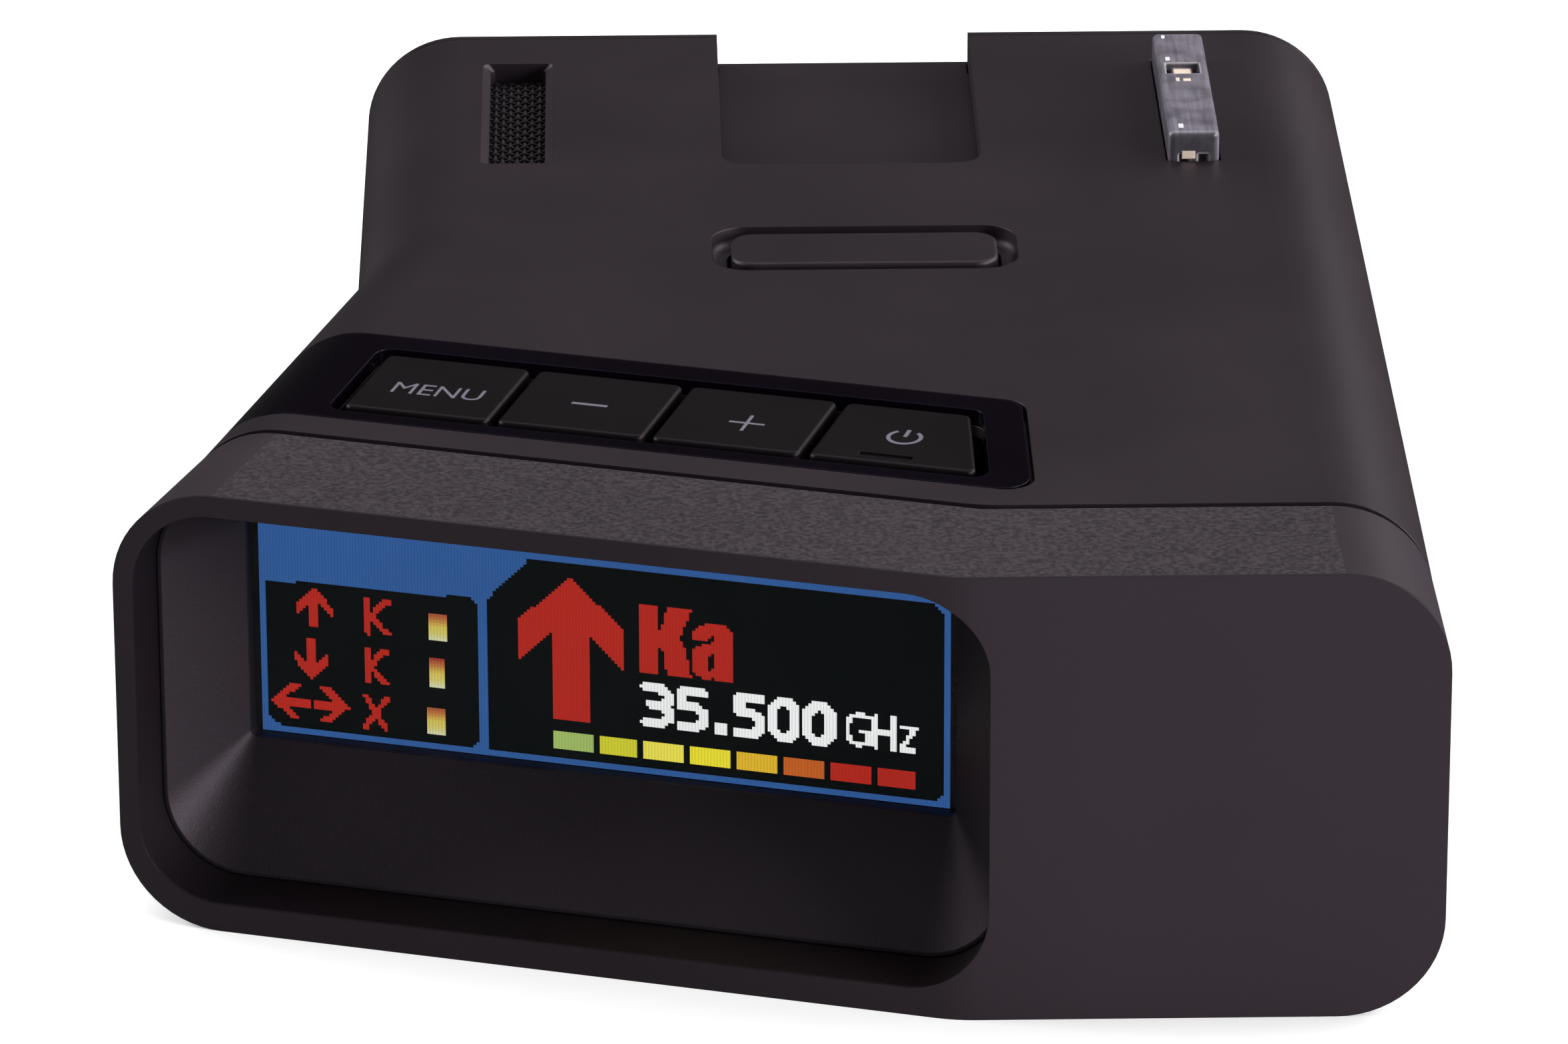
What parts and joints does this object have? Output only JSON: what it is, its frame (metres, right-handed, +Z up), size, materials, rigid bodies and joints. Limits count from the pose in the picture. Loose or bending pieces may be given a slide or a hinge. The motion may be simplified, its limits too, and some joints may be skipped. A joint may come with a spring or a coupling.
{
  "type": "radar detector",
  "caption": "Dashboard radar detector: rounded case with an angled colour display end, push keys, speaker grille, laser lens and bracket channel.",
  "frame": {"origin": "middle of the base, at the centre of the bounding box in plan and on its lowest plane", "axes": "+Y from the display end to the windshield end, +Z up, +X to the right of someone who reads the display"},
  "size_m": [0.09, 0.1104, 0.0338],
  "materials": {
    "case_plastic": "smooth matte black with a faint plum tint",
    "bezel_plastic": "fine-grained matte charcoal",
    "end_plastic": "matte black",
    "shroud_plastic": "fine sparkling black grain",
    "gloss_trim": "high gloss black with a violet tint",
    "key_plastic": "satin charcoal",
    "clear_plastic": "clear polycarbonate",
    "ir_window": "dark infrared-pass window",
    "led_window": "smoked light window",
    "display_module": "colour display module",
    "circuit_board": "green solder mask",
    "shield_steel": "tinned steel",
    "horn_alloy": "cast alloy",
    "antenna_ceramic": "ceramic patch",
    "screw_steel": "dark plated steel",
    "socket_plastic": "moulded black",
    "grille_mesh": "black woven mesh on a perforated plate",
    "speaker_paper": "coated cone",
    "gasket_rubber": "foam rubber",
    "flex_cable": "amber flexible circuit and lead",
    "label_film": "blank film label"
  },
  "bodies": {
    "housing": {"audio_socket": "socket_plastic", "board_link": "socket_plastic", "case_screws": "screw_steel", "display_board": "circuit_board", "display_bracket": "shield_steel", "display_glass": "clear_plastic", "display_panel": "display_module", "display_ribbon": "flex_cable", "display_shroud": "shroud_plastic", "end_cover": "end_plastic", "forward_horn": "horn_alloy", "front_bezel": "bezel_plastic", "front_laser_lens": "clear_plastic", "front_laser_sensor": "socket_plastic", "front_laser_window": "ir_window", "gps_antenna": "antenna_ceramic", "key_board": "circuit_board", "key_board_screws": "screw_steel", "key_trim": "gloss_trim", "lower_case": "case_plastic", "main_board": "circuit_board", "main_board_screws": "screw_steel", "menu_switch": "socket_plastic", "minus_switch": "socket_plastic", "mount_channel": "case_plastic", "mute_switch": "socket_plastic", "plus_switch": "socket_plastic", "power_pin": "screw_steel", "power_socket": "socket_plastic", "power_switch": "socket_plastic", "processor_can": "shield_steel", "rating_label": "label_film", "rear_horn": "horn_alloy", "rear_laser_board": "circuit_board", "rear_laser_lens": "clear_plastic", "rear_laser_sensor": "socket_plastic", "receiver_can": "shield_steel", "speaker_basket": "socket_plastic", "speaker_cone": "speaker_paper", "speaker_gasket": "gasket_rubber", "speaker_grille": "grille_mesh", "speaker_lead": "flex_cable", "speaker_magnet": "shield_steel", "upper_case": "case_plastic", "usb_socket": "shield_steel"},
    "menu_button": {"menu_key": "key_plastic", "menu_plunger": "socket_plastic"},
    "minus_button": {"minus_key": "key_plastic", "minus_plunger": "socket_plastic"},
    "plus_button": {"plus_key": "key_plastic", "plus_plunger": "socket_plastic"},
    "power_button": {"power_key": "key_plastic", "power_plunger": "socket_plastic", "power_led_window": "led_window"},
    "mute_button": {"mute_key": "key_plastic", "mute_plunger": "socket_plastic"}
  },
  "joints": [
    {"name": "menu_press", "type": "slide", "parent": "housing", "child": "menu_button", "axis": [0, 0, -1], "range_m": [0, 0.0005], "stiffness_N_per_m": 600, "springref_m": -0.002},
    {"name": "minus_press", "type": "slide", "parent": "housing", "child": "minus_button", "axis": [0, 0, -1], "range_m": [0, 0.0005], "stiffness_N_per_m": 600, "springref_m": -0.002},
    {"name": "plus_press", "type": "slide", "parent": "housing", "child": "plus_button", "axis": [0, 0, -1], "range_m": [0, 0.0005], "stiffness_N_per_m": 600, "springref_m": -0.002},
    {"name": "power_press", "type": "slide", "parent": "housing", "child": "power_button", "axis": [0, 0, -1], "range_m": [0, 0.0005], "stiffness_N_per_m": 600, "springref_m": -0.002},
    {"name": "mute_press", "type": "slide", "parent": "housing", "child": "mute_button", "axis": [0, 0, -1], "range_m": [0, 0.0005], "stiffness_N_per_m": 500, "springref_m": -0.002}
  ]
}
